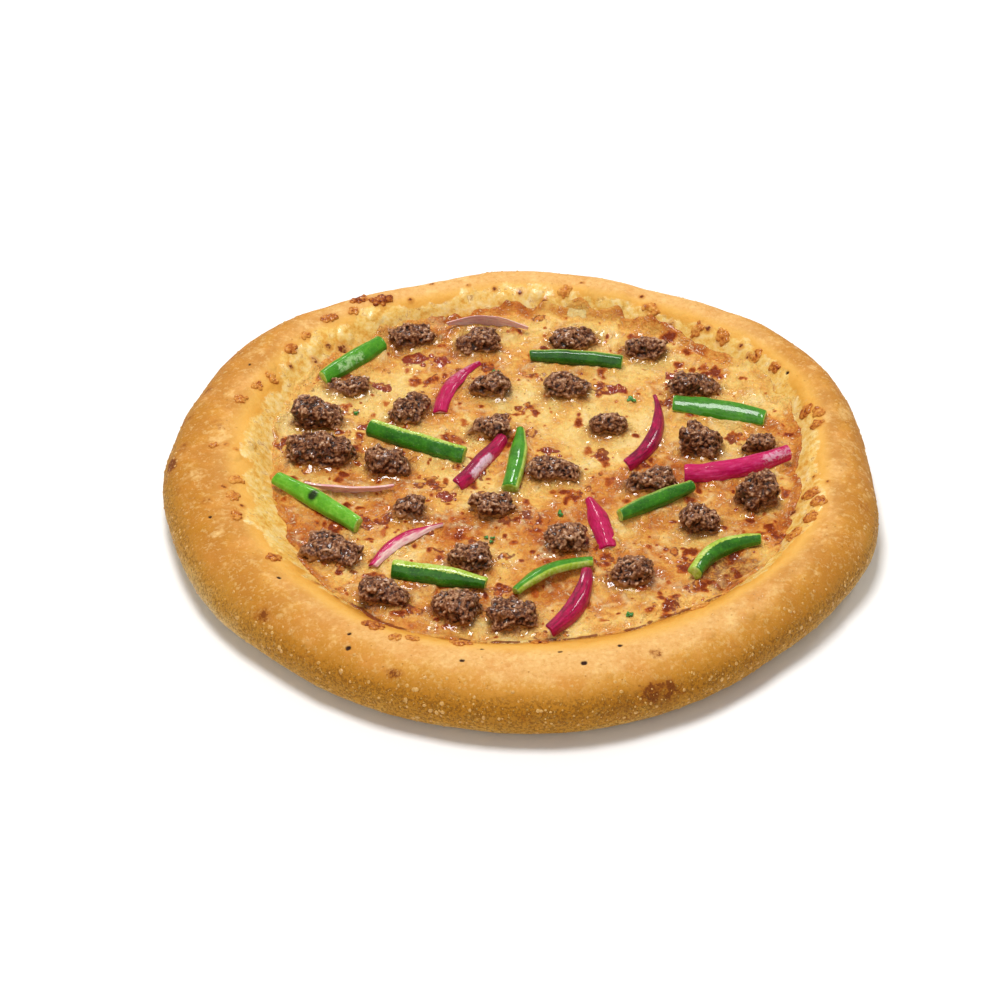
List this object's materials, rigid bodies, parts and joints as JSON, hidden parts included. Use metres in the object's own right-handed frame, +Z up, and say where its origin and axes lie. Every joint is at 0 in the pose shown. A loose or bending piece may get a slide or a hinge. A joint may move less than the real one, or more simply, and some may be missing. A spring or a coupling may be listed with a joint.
{
  "type": "beef pizza",
  "caption": "Round thick-rimmed baked pizza with melted cheese, beef crumbles, green pepper strips and red onion strips.",
  "frame": {"origin": "on the floor under the middle of the pizza's outline box", "axes": "+Z up, -Y towards the side that the picture shows at the front, +X to the right in the picture"},
  "size_m": [0.2506, 0.2494, 0.0247],
  "materials": {
    "dough": "baked bread crust, smooth and golden on the crest, browner and pitted on the outer wall",
    "melted_cheese": "melted and lightly browned cheese with oily gloss and blisters",
    "beef": "cooked minced beef, grainy, with oily sparkle",
    "green_pepper": "waxy green pepper skin, paler flesh at the cut faces",
    "red_onion": "glossy magenta onion skin, pale pink inner face"
  },
  "bodies": {
    "root": {"crust": "dough", "cheese": "melted_cheese", "beef_01": "beef", "beef_02": "beef", "beef_03": "beef", "beef_04": "beef", "beef_05": "beef", "beef_06": "beef", "beef_07": "beef", "beef_08": "beef", "beef_09": "beef", "beef_10": "beef", "beef_11": "beef", "beef_12": "beef", "beef_13": "beef", "beef_14": "beef", "beef_15": "beef", "beef_16": "beef", "beef_17": "beef", "beef_18": "beef", "beef_19": "beef", "beef_20": "beef", "beef_21": "beef", "beef_22": "beef", "beef_23": "beef", "beef_24": "beef", "beef_25": "beef", "beef_26": "beef", "beef_27": "beef", "beef_28": "beef", "beef_29": "beef", "pepper_01": "green_pepper", "pepper_02": "green_pepper", "pepper_03": "green_pepper", "pepper_04": "green_pepper", "pepper_05": "green_pepper", "pepper_06": "green_pepper", "pepper_07": "green_pepper", "pepper_08": "green_pepper", "pepper_09": "green_pepper", "pepper_10": "green_pepper", "onion_01": "red_onion", "onion_02": "red_onion", "onion_03": "red_onion", "onion_04": "red_onion", "onion_05": "red_onion", "onion_06": "red_onion", "onion_07": "red_onion", "onion_08": "red_onion", "onion_09": "red_onion"}
  },
  "joints": []
}
